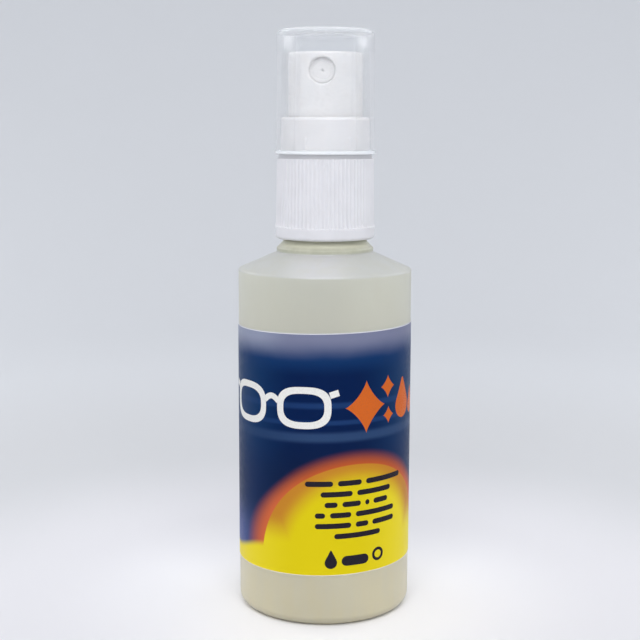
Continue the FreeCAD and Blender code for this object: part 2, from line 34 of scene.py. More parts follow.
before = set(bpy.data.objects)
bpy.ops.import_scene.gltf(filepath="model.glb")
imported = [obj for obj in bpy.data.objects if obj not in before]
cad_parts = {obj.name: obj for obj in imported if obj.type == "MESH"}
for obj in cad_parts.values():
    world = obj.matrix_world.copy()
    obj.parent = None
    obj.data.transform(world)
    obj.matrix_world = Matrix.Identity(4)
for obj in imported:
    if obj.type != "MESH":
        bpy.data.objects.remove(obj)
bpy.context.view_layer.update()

MM = 0.001
ROUND = 240                     # faces round a turned piece
SMALL_ROUND = 96                # faces round the nozzle, the button and the floor
AXIS = 1e-6                     # a radius below this is on the axis
CREASE = math.radians(35)       # an edge that turns by more than this stays sharp


def extent(node):
    """A turned node's largest radius and its lowest and highest height."""
    low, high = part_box(node)
    return high.x / MM, low.z / MM, high.z / MM


BODY_R, BODY_FOOT, LIP = extent("bottle")
COLLAR_R, COLLAR_FOOT, BOSS_TOP = extent("closure")
CAP_R, CAP_FOOT, CAP_TOP = extent("overcap")
BUTTON_R, BUTTON_FOOT, BUTTON_TOP = extent("actuator")
LABEL_R, LABEL_LOW, LABEL_HIGH = extent("label")
FLUID_R, FLUID_FOOT, FLUID_TOP = extent("cleaning_fluid")

THREAD_PITCH = 3.175
SHOULDER_TOP = 68.6             # where the bottle's shoulder meets the ring under its neck
NECK_STEP = 69.4                # that ring's top
RIB_TOP = 86.2                  # the top of the closure's ribbed skirt
DECK = 87.0                     # the closure's step, which its boss stands on
LABEL_RISE = 0.33 / 17.5        # how far the label's edges climb per millimetre towards +X
LABEL_FOOT = LABEL_LOW + LABEL_RISE * LABEL_R
LABEL_HEAD = LABEL_HIGH - LABEL_RISE * LABEL_R
NOZZLE_Z = (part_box("nozzle_insert")[0].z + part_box("nozzle_insert")[1].z) / 2 / MM


# ---------------------------------------------------------------- mesh building

def mesh_of(name, verts, faces):
    """A mesh in metres from vertices in millimetres."""
    mesh = bpy.data.meshes.new(name)
    mesh.from_pydata([Vector(v) * MM for v in verts], [], faces)
    return mesh


def put_in_scene(name, data):
    """A new object in the scene, made of a mesh, a lamp or a camera."""
    thing = bpy.data.objects.new(name, data)
    bpy.context.scene.collection.objects.link(thing)
    return thing


def shade(mesh, material):
    """One material, and smooth shading up to the crease angle."""
    mesh.materials.clear()
    mesh.materials.append(material)
    mesh.shade_smooth()
    mesh.set_sharp_from_angle(angle=CREASE)


def make_piece(mesh, name, body, nodes, material):
    """A piece with outward normals that rides on a body and stands for CAD nodes, if any."""
    bm = bmesh.new()
    bm.from_mesh(mesh)
    bmesh.ops.remove_doubles(bm, verts=bm.verts, dist=1e-7)
    bmesh.ops.recalc_face_normals(bm, faces=bm.faces)
    bm.to_mesh(mesh)
    bm.free()
    shade(mesh, material)
    piece = put_in_scene(name, mesh)
    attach(piece, body)
    if nodes:
        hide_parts(*nodes)


def rounded(corners, step=10):
    """The outline through (radius, height, rounding) corners, with an arc at each rounded one."""
    outline = []
    for i, (r, z, rounding) in enumerate(corners):
        here = Vector((r, z))
        if rounding <= 0:
            outline.append(here)
            continue
        before = (Vector(corners[i - 1][:2]) - here).normalized()
        after = (Vector(corners[(i + 1) % len(corners)][:2]) - here).normalized()
        half = before.angle(after) / 2
        centre = here + (before + after).normalized() * rounding / math.sin(half)
        start = here + before * rounding / math.tan(half) - centre
        sweep = math.pi - 2 * half
        if start.cross(here - centre) < 0:
            sweep = -sweep
        count = max(2, math.ceil(abs(math.degrees(sweep)) / step))
        for k in range(count + 1):
            a = sweep * k / count
            outline.append(centre + Vector((start.x * math.cos(a) - start.y * math.sin(a),
                                            start.x * math.sin(a) + start.y * math.cos(a))))
    return outline


def at(r, angle, z):
    """A point at a radius, an angle from the front, and a height."""
    return (r * math.sin(angle), -r * math.cos(angle), z)


def split_runs(outline, longest):
    """The same closed outline with no run longer than that, except along the axis."""
    finer = []
    for here, there in zip(outline, outline[1:] + outline[:1]):
        finer.append(here)
        if here.x < AXIS and there.x < AXIS:
            continue
        count = math.ceil((there - here).length / longest)
        finer += [here.lerp(there, k / count) for k in range(1, count)]
    return finer


def lathe(outline, segments=ROUND, relief=None, longest=4.0):
    """Vertices and faces of an outline turned about Z. relief(angle, r, z) is added to the radius."""
    outline = split_runs(outline, longest)
    verts, rings = [], []
    for r, z in outline:
        if r < AXIS:
            rings.append([len(verts)] * segments)
            verts.append((0, 0, z))
            continue
        first = len(verts)
        for k in range(segments):
            angle = 2 * math.pi * k / segments
            out = relief(angle, r, z) if relief else 0
            verts.append(at(r + out, angle, z))
        rings.append(list(range(first, first + segments)))
    faces = []
    for lower, upper in zip(rings, rings[1:] + rings[:1]):
        if lower[0] == lower[-1] and upper[0] == upper[-1]:
            continue
        for k in range(segments):
            n = (k + 1) % segments
            corners = [lower[k], lower[n], upper[n], upper[k]]
            faces.append(tuple(dict.fromkeys(corners)))
    return verts, faces


def turned(name, corners, body, material, segments=ROUND, relief=None, extra=None, longest=4.0):
    """A turned piece that replaces the CAD node of its own name. extra is more vertices and faces."""
    verts, faces = lathe(rounded(corners), segments, relief, longest)
    if extra:
        more, more_faces = extra
        faces += [tuple(i + len(verts) for i in face) for face in more_faces]
        verts += more
    make_piece(mesh_of(name, verts, faces), name, body, [name], material)


def thread(root, crest, foot, turns, root_width, crest_width, per_turn=72, run_out=0.12):
    """A right-hand helical ridge that starts at +X and runs out at both ends over run_out turns."""
    count = int(turns * per_turn)
    thinnest = 0.02
    verts, faces = [], []
    for k in range(count + 1):
        turn = turns * k / count
        full = max(min(1.0, turn / run_out, (turns - turn) / run_out), thinnest)
        angle = math.pi / 2 + 2 * math.pi * turn
        z = foot + THREAD_PITCH * turn
        tip = root + (crest - root) * full
        half_root, half_tip = root_width / 2 * full, crest_width / 2 * full
        verts += [at(root, angle, z - half_root), at(tip, angle, z - half_tip),
                  at(tip, angle, z + half_tip), at(root, angle, z + half_root)]
    for k in range(count):
        a, b = 4 * k, 4 * k + 4
        for i in range(4):
            j = (i + 1) % 4
            faces.append((a + i, a + j, b + j, b + i))
    faces += [(0, 1, 2, 3), tuple(4 * count + i for i in range(4))]
    return verts, faces


# ---------------------------------------------------------------- shader building

class Tree:
    """Short calls for one material's nodes."""

    def __init__(self, name):
        self.material = bpy.data.materials.new(name)
        self.material.use_nodes = True
        self.nodes = self.material.node_tree.nodes
        self.links = self.material.node_tree.links
        self.shader = self.nodes["Principled BSDF"]

    def set(self, **sockets):
        """Set the shader's sockets; a word's underscores stand for spaces."""
        for word, value in sockets.items():
            self.shader.inputs[word.replace("_", " ")].default_value = value

    def feed(self, socket, value):
        """Link a socket to another's output, or give it a value."""
        if isinstance(value, bpy.types.NodeSocket):
            self.links.new(value, socket)
        elif value is not None:
            socket.default_value = value

    def drive(self, socket, value):
        """Link one of the shader's sockets to a node's output."""
        self.links.new(value, self.shader.inputs[socket])

    def math(self, operation, a, b=None):
        node = self.nodes.new("ShaderNodeMath")
        node.operation = operation
        for socket, value in zip(node.inputs, (a, b)):
            self.feed(socket, value)
        return node.outputs[0]

    def length(self, across, up):
        """The length of a run that goes that far across and up."""
        squares = [self.math("MULTIPLY", side, side) for side in (across, up)]
        return self.math("SQRT", self.math("ADD", *squares))

    def away(self, value, middle):
        """How far a value is from the middle, either way."""
        return self.math("ABSOLUTE", self.math("SUBTRACT", value, middle))

    def place(self):
        """The point's X, Y and Z in the part's frame, in millimetres."""
        coords = self.nodes.new("ShaderNodeTexCoord").outputs["Object"]
        split = self.nodes.new("ShaderNodeSeparateXYZ")
        self.links.new(coords, split.inputs[0])
        return [self.math("DIVIDE", axis, MM) for axis in split.outputs]

    def noise(self, scale, detail=3.0, closeness=(1, 1, 1)):
        """Noise with scale features per millimetre, times closeness along X, Y and Z."""
        coords = self.nodes.new("ShaderNodeTexCoord").outputs["Object"]
        mapping = self.nodes.new("ShaderNodeMapping")
        mapping.inputs["Scale"].default_value = [share / MM for share in closeness]
        self.links.new(coords, mapping.inputs["Vector"])
        node = self.nodes.new("ShaderNodeTexNoise")
        self.links.new(mapping.outputs[0], node.inputs["Vector"])
        node.inputs["Scale"].default_value = scale
        node.inputs["Detail"].default_value = detail
        return node.outputs["Fac"]

    def span(self, value, low, high, to_low=0.0, to_high=1.0, smooth=True):
        """value from low..high turned into to_low..to_high, held at both ends."""
        node = self.nodes.new("ShaderNodeMapRange")
        node.interpolation_type = "SMOOTHSTEP" if smooth else "LINEAR"
        for socket, number in zip(node.inputs, (value, low, high, to_low, to_high)):
            self.feed(socket, number)
        return node.outputs[0]

    def mix(self, share, under, over):
        """Two colours mixed: none of over at share 0, all of it at 1."""
        node = self.nodes.new("ShaderNodeMix")
        node.data_type = "RGBA"
        self.feed(node.inputs["Factor"], share)
        for letter, colour in (("A", under), ("B", over)):
            if not isinstance(colour, bpy.types.NodeSocket):
                colour = (*colour, 1)
            self.feed(colour_socket(node.inputs, letter), colour)
        return colour_socket(node.outputs, "Result")

    def bump(self, height, strength, distance):
        node = self.nodes.new("ShaderNodeBump")
        self.feed(node.inputs["Height"], height)
        node.inputs["Strength"].default_value = strength
        node.inputs["Distance"].default_value = distance * MM
        self.links.new(node.outputs[0], self.shader.inputs["Normal"])


def colour_socket(sockets, name):
    """A mix node has a socket of each name for every data type: the colour one."""
    return next(s for s in sockets if s.name == name and s.type == "RGBA")


def srgb(red, green, blue):
    """A colour from its 0-255 display values."""
    def linear(channel):
        c = channel / 255
        return c / 12.92 if c <= 0.04045 else ((c + 0.055) / 1.055) ** 2.4
    return (linear(red), linear(green), linear(blue))


# ---------------------------------------------------------------- materials

BLACK = (0, 0, 0)


def scaled(colour, share):
    return tuple(channel * share for channel in colour)


def milky_plastic():
    """Natural polyethylene: cloudy, lets light through. Its colour holds painted light: shade at the front
    and back, a highlight on the shoulder's front and back, and a lighter throat.
    """
    tree = Tree("milky_polyethylene")
    x, _, z = tree.place()
    aside = tree.away(x, 0)
    low = tree.span(z, 0, FLUID_TOP, smooth=False)
    under = tree.mix(low, srgb(251, 242, 208), srgb(248, 248, 234))
    # Painted shade: the wall under the shoulder is darkened at the front and back, so that its sides look
    # lighter.
    under = tree.mix(tree.span(aside, 2, 13, 0.1, 0), under, BLACK)
    # Painted highlight: the shoulder is painted whiter at its front and back.
    shoulder = tree.mix(tree.span(aside, 1, 8), srgb(255, 255, 255), srgb(241, 242, 237))
    # Painted light: the throat above the ring is painted lighter than the ring, against the shade under the
    # closure.
    above_ring = tree.span(z, NECK_STEP + 0.2, NECK_STEP + 0.9)
    throat = tree.mix(above_ring, srgb(190, 190, 169), srgb(230, 229, 204))

    neck = tree.span(z, SHOULDER_TOP, SHOULDER_TOP + 0.4)
    dry = tree.span(z, FLUID_TOP + 0.3, FLUID_TOP + 0.6)
    colour = tree.mix(dry, under, tree.mix(neck, shoulder, throat))
    flow = tree.noise(0.35, 3, closeness=(1, 1, 0.25))
    colour = tree.mix(tree.span(flow, 0.35, 0.7, 0, 0.25), colour, srgb(240, 238, 222))
    tree.drive("Base Color", colour)
    tree.drive("Roughness", tree.span(flow, 0.3, 0.7, 0.3, 0.38))
    clear = tree.span(dry, 0, 1, 0.48, 0.5)
    thick_neck = tree.math("MULTIPLY", neck, 0.38)
    tree.drive("Transmission Weight", tree.math("SUBTRACT", clear, thick_neck))
    tree.set(IOR=1.5)
    tree.bump(tree.noise(0.5, 4), 0.08, 0.1)
    return tree.material


def liquid():
    tree = Tree("cleaning_fluid")
    tint = tree.span(tree.noise(0.05, 2), 0.3, 0.7)
    tree.drive("Base Color", tree.mix(tint, srgb(247, 245, 232), srgb(250, 248, 238)))
    tree.set(Roughness=0.02, IOR=1.34, Transmission_Weight=1.0)
    return tree.material


def moulded(name, colour, skirt=None, roughness=0.32):
    """Moulded polypropylene: a fine mould texture and faint sink marks. skirt is the colour below the deck,
    painted darker than above it as shade on the ribbed skirt, with painted shade in the gap under the
    overcap.
    """
    tree = Tree(name)
    if skirt:
        z = tree.place()[2]
        # Painted shade: the gap between the ribs' tops and the deck, under the overcap's foot, is darkened.
        groove = tree.span(z, RIB_TOP, RIB_TOP + 0.04)
        skirt = tree.mix(groove, skirt, scaled(skirt, 0.8))
        # Painted shade: below the deck the colour is the darker skirt colour, standing in for the ribs'
        # shade.
        colour = tree.mix(tree.span(z, DECK - 0.02, DECK + 0.02), skirt, colour)
    sink = tree.span(tree.noise(0.25, 3), 0.35, 0.65, 0, 0.035)
    tree.drive("Base Color", tree.mix(sink, colour, BLACK))
    fine = tree.noise(2.5, 3)
    tree.drive("Roughness", tree.span(fine, 0.3, 0.7, roughness - 0.04, roughness + 0.06))
    tree.set(IOR=1.49, Subsurface_Weight=0.4, Subsurface_Radius=(1.0, 0.95, 0.9),
             Subsurface_Scale=0.6 * MM)
    tree.bump(fine, 0.06, 0.02)
    return tree.material


def clear_plastic():
    """Clear polypropylene: glossy, slightly hazy, and cloudier at its foot and round its crown."""
    tree = Tree("clear_polypropylene")
    haze = tree.noise(0.4, 3, closeness=(1, 1, 0.3))
    tree.drive("Base Color", tree.mix(tree.span(haze, 0.35, 0.7), srgb(250, 252, 254), srgb(244, 247, 251)))
    tree.drive("Roughness", tree.span(haze, 0.3, 0.7, 0.08, 0.12))
    x, y, z = tree.place()
    foot = tree.span(z, CAP_FOOT + 0.75, CAP_FOOT + 0.5)
    crown = tree.math("MULTIPLY", tree.span(z, CAP_TOP - 1.5, CAP_TOP - 0.7),
                      tree.span(tree.length(x, y), CAP_R - 1.6, CAP_R - 0.9))
    cloudy = tree.math("MAXIMUM", foot, tree.math("MULTIPLY", crown, 0.6))
    tree.drive("Alpha", tree.span(cloudy, 0, 1, 0.24, 0.9))
    tree.drive("Transmission Weight", tree.span(cloudy, 0, 1, 0.88, 0.15))
    tree.set(IOR=1.47)
    tree.bump(tree.noise(0.6, 2), 0.02, 0.05)
    return tree.material


def translucent(name, colour, share=0.4, roughness=0.35):
    """Unpigmented plastic; share is how much light goes through."""
    tree = Tree(name)
    cloudy = tree.span(tree.noise(0.8, 3), 0.3, 0.7)
    tree.drive("Base Color", tree.mix(cloudy, colour, scaled(colour, 0.94)))
    tree.drive("Roughness", tree.span(cloudy, 0, 1, roughness - 0.05, roughness + 0.05))
    tree.set(IOR=1.5, Transmission_Weight=share)
    return tree.material


def metal(name, colour, roughness, closeness=(1, 1, 1)):
    """Bare metal with faint marks; closeness is how densely they lie along X, Y and Z."""
    tree = Tree(name)
    marks = tree.noise(6.0, 3, closeness)
    tree.drive("Base Color", tree.mix(tree.span(marks, 0.3, 0.7), colour, scaled(colour, 0.85)))
    tree.drive("Roughness", tree.span(marks, 0.3, 0.7, roughness * 0.7, roughness * 1.4))
    tree.set(Metallic=1.0)
    return tree.material


def foam():
    tree = Tree("gasket_foam")
    cells = tree.noise(5.0, 4)
    tree.drive("Base Color", tree.mix(cells, srgb(236, 236, 232), srgb(214, 214, 210)))
    tree.set(Roughness=0.85)
    tree.bump(cells, 0.4, 0.1)
    return tree.material


def ink(name, colour):
    tree = Tree(name)
    cover = tree.span(tree.noise(4.0, 3), 0.3, 0.7)
    tree.drive("Base Color", tree.mix(cover, colour, scaled(colour, 0.9)))
    tree.drive("Roughness", tree.span(cover, 0, 1, 0.26, 0.36))
    tree.set(IOR=1.5, Specular_IOR_Level=PRINT_GLOSS)
    return tree.material


# ---------------------------------------------------------------- the label's print

# A point of the label is s millimetres round it from the front, and z high before the label was tilted.
SUN_S = 7.7                     # the disc's centre
SUN_Z = 12.0
SUN_R = 18.8
DARKEST_S = 2.0                 # painted sheen: the blue and the yellow are darkest here and pale towards both sides
BANDS_S = 8.0                   # the light bands are strongest here
EMBER_LOW = srgb(207, 102, 60)
EMBER_HIGH = srgb(188, 88, 44)
AMBER = srgb(196, 131, 42)
PRINT_GLOSS = 0.07
EDGE = 0.12                     # half the blur of a printed edge


def label_place(tree):
    """s and z of the point."""
    x, y, z = tree.place()
    s = tree.math("MULTIPLY", tree.math("ARCTAN2", x, tree.math("MULTIPLY", y, -1.0)), LABEL_R)
    return s, tree.math("SUBTRACT", z, tree.math("MULTIPLY", x, LABEL_RISE))


def label_blue(tree, s, z, side):
    """Navy with three light bands, a lighter haze low on the left, and painted sheen: side pales it towards
    both sides.
    """
    low = tree.mix(side, srgb(6, 26, 61), srgb(14, 40, 82))
    high = tree.mix(side, srgb(0, 28, 73), srgb(8, 51, 95))
    blue = tree.mix(tree.span(z, 26, 40), low, high)
    for level, half, tone, share in ((42.0, 0.5, srgb(30, 62, 112), 0.75),
                                     (38.8, 0.4, srgb(30, 62, 112), 0.75),
                                     (36.1, 0.8, srgb(46, 71, 110), 0.9)):
        band = tree.math("MULTIPLY", tree.span(tree.away(z, level), half * 0.4, half * 1.7, 1, 0),
                         tree.span(tree.away(s, BANDS_S), 6, 34, share, 0.12))
        blue = tree.mix(band, blue, tone)
    blue = label_head(tree, s, z, blue)
    haze = tree.math("MULTIPLY", tree.span(z, 24, 14.5), tree.span(s, -10, -20))
    return tree.mix(tree.math("MULTIPLY", haze, 0.5), blue, srgb(96, 112, 180))


def label_head(tree, s, z, blue):
    """The blue fades to a pale head, paler on the left, with an uneven edge."""
    drift = tree.math("MULTIPLY", tree.math("SUBTRACT", tree.noise(0.12, 2), 0.5), 1.2)
    blue = tree.mix(tree.span(z, LABEL_HEAD - 8.2, LABEL_HEAD - 4.3), blue, srgb(14, 52, 100))
    pale = tree.mix(tree.span(s, -4, -12), srgb(123, 127, 153), srgb(144, 150, 172))
    head = tree.span(tree.math("ADD", z, drift), LABEL_HEAD - 5.3, LABEL_HEAD - 0.8)
    return tree.mix(head, blue, pale)


def label_sun(tree, s, z, blue, yellow):
    """A disc with an amber rim and a red glow round it."""
    across = tree.math("SUBTRACT", s, SUN_S)
    up = tree.math("SUBTRACT", z, SUN_Z)
    far = tree.length(across, up)
    reach = tree.span(z, 17, 29, SUN_R + 5.6, SUN_R + 3.1)
    ember = tree.mix(tree.span(z, 22, 31), EMBER_LOW, EMBER_HIGH)
    colour = tree.mix(tree.span(far, reach, SUN_R - 0.2), blue, ember)

    core = tree.length(tree.math("MULTIPLY", across, 1.12), up)
    ripe = tree.math("MAXIMUM", tree.span(core, 19.0, 14.0), tree.span(z, 21.5, 15.5))
    disc = tree.span(far, SUN_R + EDGE, SUN_R - EDGE)
    return tree.mix(disc, colour, tree.mix(ripe, AMBER, yellow))


def label_print():
    """The label's colour fields: blue, a glowing disc, a yellow foot and thin light lines along the top and
    bottom edges. The blue and the yellow pale towards both sides as painted sheen.
    """
    tree = Tree("label_print")
    s, z = label_place(tree)
    # Painted sheen: side pales the blue and the yellow away from the front.
    side = tree.span(tree.away(s, DARKEST_S), 5, 18)
    yellow = tree.mix(side, srgb(221, 201, 17), srgb(236, 216, 42))
    colour = label_sun(tree, s, z, label_blue(tree, s, z, side), yellow)

    shore = tree.math("ADD", tree.math("MULTIPLY", tree.span(s, -22, -10), 2.4), 12.6)
    sand = tree.span(tree.math("SUBTRACT", z, shore), 0.8, -0.8)
    colour = tree.mix(sand, colour, yellow)
    edge = tree.math("MAXIMUM", tree.span(z, LABEL_HEAD - 0.22, LABEL_HEAD - 0.14),
                     tree.span(z, LABEL_FOOT + 0.16, LABEL_FOOT + 0.1))
    colour = tree.mix(tree.math("MULTIPLY", edge, 0.8), colour, srgb(236, 236, 238))
    tree.drive("Base Color", colour)
    tree.drive("Roughness", tree.span(tree.noise(0.8, 3), 0.3, 0.7, 0.32, 0.4))
    tree.set(IOR=1.5, Specular_IOR_Level=PRINT_GLOSS)
    tree.bump(tree.noise(0.5, 2), 0.03, 0.04)
    return tree.material


MILKY = milky_plastic()
FLUID = liquid()
# The skirt colour is painted shade: darker than the boss above the deck.
WHITE = moulded("white_polypropylene", srgb(243, 241, 241), skirt=srgb(229, 228, 231))
BUTTON_WHITE = moulded("button_polypropylene", srgb(245, 243, 242), roughness=0.28)
CLEAR = clear_plastic()
NATURAL = translucent("natural_polypropylene", srgb(238, 239, 238))
TUBE = translucent("tube_polyethylene", srgb(240, 240, 238), share=0.7)
STEEL = metal("polished_steel", srgb(205, 206, 210), 0.12)
WIRE = metal("spring_wire", srgb(178, 178, 182), 0.3, closeness=(1, 1, 4))
FOAM = foam()
LABEL_PRINT = label_print()
WHITE_INK = ink("white_ink", srgb(238, 237, 232))
ORANGE_INK = ink("orange_ink", srgb(214, 104, 40))
DARK_INK = ink("dark_ink", srgb(38, 34, 44))


# ---------------------------------------------------------------- bottle, label and contents

WALL = 0.9
BASE_WALL = 1.15
PUSH_UP = 1.2                   # how far the base is hollowed upwards
HOLLOW_R = 11.5                 # the flat part of that hollow
FOOT_R = 13.0                   # where the hollow's slope comes down to the floor
INNER_HOLLOW_R = 11.7           # the same two, inside
INNER_FOOT_R = 13.1
SHOULDER_FOOT = 65.4
INNER_SHOULDER = 64.8
STEP_R = 9.22                   # the ring where the shoulder meets the neck
FLARE_R = 8.18                  # the cone from that ring to the neck
FLARE_FOOT = NECK_STEP + 1.0
FLARE_TOP = 72.0
THROAT_R = 7.4                  # the bore's widening under the neck
THROAT_FOOT = 68.43
THROAT_TOP = 70.2
NECK_R = 7.05
NECK_BORE = 5.8
THREAD_R = 7.95
THREAD_FOOT = 76.6
FLUID_BORE = 2.8                # room round the dip tube
FILM = 0.08                     # the label's thickness
LABEL_SPAN = math.radians(347)


def make_bottle():
    inner = BODY_R - WALL
    corners = [
        (0, PUSH_UP, 0), (HOLLOW_R, PUSH_UP, 0.8), (FOOT_R, BODY_FOOT, 0.7), (BODY_R, BODY_FOOT, 2.0),
        (BODY_R, SHOULDER_FOOT, 0.5), (STEP_R, SHOULDER_TOP, 0.2), (STEP_R, NECK_STEP, 0.3),
        (FLARE_R, FLARE_FOOT, 0.6), (NECK_R, FLARE_TOP, 0.3), (NECK_R, LIP, 0.2), (NECK_BORE, LIP, 0.2),
        (NECK_BORE, THROAT_TOP, 0.8), (THROAT_R, THROAT_FOOT, 1.0), (inner, INNER_SHOULDER, 1.0),
        (inner, BASE_WALL, 1.1), (INNER_FOOT_R, BASE_WALL, 0.5),
        (INNER_HOLLOW_R, BASE_WALL + PUSH_UP, 0.5), (0, BASE_WALL + PUSH_UP, 0),
    ]
    ridge = thread(root=NECK_R - 0.15, crest=THREAD_R, foot=THREAD_FOOT, turns=1.6, root_width=1.6,
                   crest_width=0.7)
    turned("bottle", corners, "bottle", MILKY, extra=ridge)


def make_fluid():
    corners = [
        (FLUID_BORE, FLUID_FOOT + PUSH_UP, 0), (INNER_HOLLOW_R, FLUID_FOOT + PUSH_UP, 0.5),
        (INNER_FOOT_R, FLUID_FOOT, 0.5), (FLUID_R, FLUID_FOOT, 1.1), (FLUID_R, FLUID_TOP, 0),
        (FLUID_BORE, FLUID_TOP, 0),
    ]
    turned("cleaning_fluid", corners, "bottle", FLUID)


def make_label():
    """The film as a strip of quads inside and out, open at the back."""
    half = LABEL_SPAN / 2
    columns, rows = 300, 12
    verts, faces = [], []
    for radius in (LABEL_R - FILM, LABEL_R):
        for i in range(columns + 1):
            angle = -half + 2 * half * i / columns
            climb = LABEL_RISE * radius * math.sin(angle)
            for j in range(rows + 1):
                z = LABEL_FOOT + (LABEL_HEAD - LABEL_FOOT) * j / rows + climb
                verts.append(at(radius, angle, z))
    sheet = (columns + 1) * (rows + 1)

    def spot(side, i, j):
        return side * sheet + i * (rows + 1) + j

    for i in range(columns):
        for j in range(rows):
            for side in (0, 1):
                faces.append((spot(side, i, j), spot(side, i + 1, j),
                              spot(side, i + 1, j + 1), spot(side, i, j + 1)))
        for j in (0, rows):
            faces.append((spot(0, i, j), spot(0, i + 1, j), spot(1, i + 1, j), spot(1, i, j)))
    for j in range(rows):
        for i in (0, columns):
            faces.append((spot(0, i, j), spot(0, i, j + 1), spot(1, i, j + 1), spot(1, i, j)))
    make_piece(mesh_of("label", verts, faces), "label", "bottle", ["label"], LABEL_PRINT)


# ---------------------------------------------------------------- printing on the label

INK_RISE = 0.012                # how far the ink stands off the label, and how far it sinks in
INK_STEP = 0.5                  # the widest face of ink, so that it follows the label round
SAME = 1e-5                     # corners closer than this are one


def print_flat(name, shapes, material):
    """Flat shapes, a list of (s, z) corner loops to fill, wrapped on the label as a thin film."""
    bm = bmesh.new()
    for loop in shapes:
        bm.faces.new([bm.verts.new((s, z, 0)) for s, z in loop])
    spread = [v.co.x for v in bm.verts]
    cut = math.floor(min(spread) / INK_STEP) * INK_STEP
    while cut < max(spread):
        geometry = bm.verts[:] + bm.edges[:] + bm.faces[:]
        bmesh.ops.bisect_plane(bm, geom=geometry, plane_co=(cut, 0, 0), plane_no=(1, 0, 0), dist=SAME)
        cut += INK_STEP
    bmesh.ops.remove_doubles(bm, verts=bm.verts, dist=SAME)
    raised = bmesh.ops.extrude_face_region(bm, geom=bm.faces[:])["geom"]
    top = {v for v in raised if isinstance(v, bmesh.types.BMVert)}
    for v in bm.verts:
        radius = LABEL_R + (INK_RISE if v in top else -INK_RISE)
        angle = v.co.x / LABEL_R
        climb = LABEL_RISE * LABEL_R * math.sin(angle)
        v.co = Vector(at(radius, angle, v.co.y + climb)) * MM
    mesh = bpy.data.meshes.new(name)
    bm.to_mesh(mesh)
    bm.free()
    make_piece(mesh, name, "bottle", [], material)


def loop_of(shape, count):
    """Corners of shape(turn), turn running round from 0 to 2 pi."""
    return [shape(2 * math.pi * k / count) for k in range(count)]


def band(outer, inner, count=64):
    """Quads between two closed loops."""
    a, b = loop_of(outer, count), loop_of(inner, count)
    return [[a[k], a[(k + 1) % count], b[(k + 1) % count], b[k]] for k in range(count)]


def wedges(s, z, shape, count):
    """Triangles from a middle to a closed loop."""
    rim = loop_of(shape, count)
    return [[(s, z), rim[k], rim[(k + 1) % count]] for k in range(count)]


def superellipse(s, z, half_s, half_z, power):
    """An oval; the higher the power, the squarer it is."""
    def shape(turn):
        c, n = math.cos(turn), math.sin(turn)
        return (s + half_s * math.copysign(abs(c) ** (2 / power), c),
                z + half_z * math.copysign(abs(n) ** (2 / power), n))
    return shape


def circle(s, z, r):
    return superellipse(s, z, r, r, 2)


def bar(s, z, length, height):
    """A bar with round ends, from s to the right."""
    r = height / 2
    steps = [math.pi * k / 8 for k in range(9)]
    left = [(s + r - r * math.sin(a), z + r * math.cos(a)) for a in steps]
    right = [(s + length - r + r * math.sin(a), z - r * math.cos(a)) for a in steps]
    return left + right


def strip(points, width):
    """Quads along a line of points."""
    sides = []
    for i, (s, z) in enumerate(points):
        before, after = points[max(i - 1, 0)], points[min(i + 1, len(points) - 1)]
        run = Vector((after[0] - before[0], after[1] - before[1])).normalized() * width / 2
        sides.append(((s - run.y, z + run.x), (s + run.y, z - run.x)))
    return [[a[0], b[0], b[1], a[1]] for a, b in zip(sides, sides[1:])]


def make_spectacles_mark():
    """A plain spectacles sign in white: two rims, their hinges and the bridge."""
    middle, level = -8.8, 41.6
    rim_power, bridge_steps, bridge_span = 2.8, 10, 3.1
    shapes = []
    for side in (-1, 1):
        s = middle + side * 6.5
        shapes += band(superellipse(s, level, 5.2, 3.9, rim_power),
                       superellipse(s, level, 3.9, 2.65, rim_power))
        hinge = [(middle + side * (11.4 + 0.55 * k), level + 2.3 + 0.16 * k) for k in range(4)]
        shapes += strip(hinge, 1.2)
    bridge = []
    for k in range(bridge_steps + 1):
        part = k / bridge_steps
        bridge.append((middle + bridge_span * (part - 0.5), level + 1.0 + 0.9 * math.sin(math.pi * part)))
    shapes += strip(bridge, 1.1)
    print_flat("spectacles_mark", shapes, WHITE_INK)


def sparkle(s, z, size):
    """A four-pointed star with hollow sides: a superellipse of low power."""
    return wedges(s, z, superellipse(s, z, size * 0.85, size, 2 / 2.6), 48)


def drop(s, z, size):
    """A drop with its point up."""
    def shape(turn):
        lift = max(math.sin(turn), 0) ** 3
        return (s + size * math.cos(turn) * (1 - 0.55 * lift), z + size * (math.sin(turn) + 1.1 * lift))
    return wedges(s, z, shape, 40)


def make_sparkle_mark():
    shapes = sparkle(9.6, 41.4, 4.9) + sparkle(14.6, 44.6, 2.1) + sparkle(14.8, 39.2, 1.6)
    shapes += drop(19.4, 40.4, 2.5) + drop(24.0, 39.6, 1.7)
    print_flat("sparkle_mark", shapes, ORANGE_INK)


def make_small_print():
    """Six centred lines of bars for words, and a drop, a heavier bar and a ring for the content."""
    words = [(5.2, 4.6, 8.7), (6.0, 7.6), (2.4, 3.6, 0.9, 3.4), (1.9, 4.0, 8.9), (6.8, 2.6, 5.4), (9.4,)]
    middle, top, line_step = SUN_S + 0.5, 27.9, 2.0
    gap, height = 0.9, 1.0
    shapes = []
    for line, lengths in enumerate(words):
        s = middle - (sum(lengths) + gap * (len(lengths) - 1)) / 2
        for length in lengths:
            shapes.append(bar(s, top - line_step * line - height / 2, length, height))
            s += length + gap
    shapes.append(bar(4.9, 12.6, length=5.4, height=1.9))
    shapes += drop(2.9, 12.4, 1.15)
    shapes += band(circle(12.4, 13.0, 1.3), circle(12.4, 13.0, 0.75), 32)
    print_flat("small_print", shapes, DARK_INK)


# ---------------------------------------------------------------- closure

